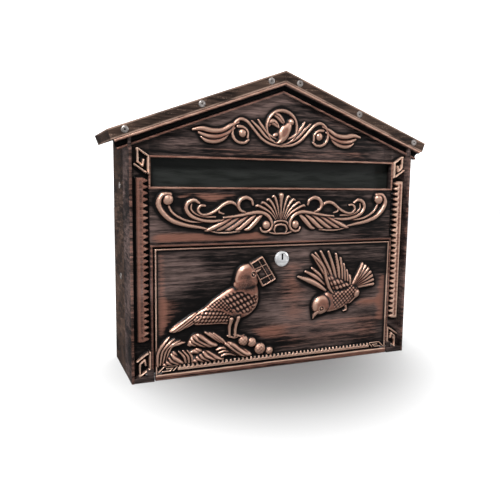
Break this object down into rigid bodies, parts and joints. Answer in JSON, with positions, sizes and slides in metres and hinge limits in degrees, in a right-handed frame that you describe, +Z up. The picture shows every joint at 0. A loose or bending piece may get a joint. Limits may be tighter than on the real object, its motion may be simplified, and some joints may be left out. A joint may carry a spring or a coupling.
{
  "type": "wall mailbox",
  "caption": "Wall mailbox with a cast front in relief, a letter slot with an inner flap, a drop-down door with a cam lock, a sheet body and a pitched roof.",
  "frame": {"origin": "middle of the four wall holes, on the back face that lies on the wall", "axes": "+Z up, +Y from the front into the wall, +X along the front, to the right as one faces it"},
  "size_m": [0.414, 0.1125, 0.358],
  "materials": {
    "front_casting": "cast aluminium, black-brown paint with copper dry-brushed over the raised work",
    "front_walls": "cast aluminium, rough black-brown paint",
    "body_wrap": "steel sheet, dark paint worn to copper brown",
    "back_panel": "steel sheet, dark paint",
    "roof_sheet": "steel sheet, dark paint with a light copper rub on its edges",
    "roof_rivets_front": "blind rivets, dull",
    "roof_rivets_back": "flush rivets, dull",
    "side_rivets_left": "blind rivets, painted over",
    "side_rivets_right": "blind rivets, painted over",
    "back_rivets": "flush rivets, dull",
    "door_casting": "cast aluminium, black-brown paint with copper dry-brushed over the raised work",
    "hinge_pin_left": "drawn steel",
    "hinge_pin_right": "drawn steel",
    "lock_housing": "bright chrome",
    "lock_plug": "bright chrome",
    "lock_washer": "zinc plated",
    "lock_nut": "zinc plated",
    "lock_cam": "zinc plated",
    "cam_washer": "zinc plated",
    "cam_screw": "zinc plated",
    "letter_flap": "steel sheet, satin black paint",
    "flap_rod": "drawn steel",
    "flap_rod_cap_left": "spring steel",
    "flap_rod_cap_right": "spring steel"
  },
  "bodies": {
    "housing": {"front_casting": "front_casting", "front_walls": "front_walls", "body_wrap": "body_wrap", "back_panel": "back_panel", "roof_sheet": "roof_sheet", "roof_rivets_front": "roof_rivets_front", "roof_rivets_back": "roof_rivets_back", "side_rivets_left": "side_rivets_left", "side_rivets_right": "side_rivets_right", "back_rivets": "back_rivets", "hinge_pin_left": "hinge_pin_left", "hinge_pin_right": "hinge_pin_right", "flap_rod": "flap_rod", "flap_rod_cap_left": "flap_rod_cap_left", "flap_rod_cap_right": "flap_rod_cap_right"},
    "door": {"door_casting": "door_casting", "lock_housing": "lock_housing", "lock_washer": "lock_washer", "lock_nut": "lock_nut"},
    "lock": {"lock_plug": "lock_plug", "lock_cam": "lock_cam", "cam_washer": "cam_washer", "cam_screw": "cam_screw"},
    "flap": {"letter_flap": "letter_flap"}
  },
  "joints": [
    {"name": "door_hinge", "type": "hinge", "parent": "housing", "child": "door", "pos_m": [0, -0.1034, -0.142], "axis": [1, 0, 0], "range_deg": [0, 95]},
    {"name": "lock_turn", "type": "hinge", "parent": "door", "child": "lock", "pos_m": [0, -0.1, -0.015], "axis": [0, -1, 0], "range_deg": [0, 90]},
    {"name": "flap_hinge", "type": "hinge", "parent": "housing", "child": "flap", "pos_m": [0, -0.0895, 0.113], "axis": [1, 0, 0], "range_deg": [0, 75]}
  ]
}
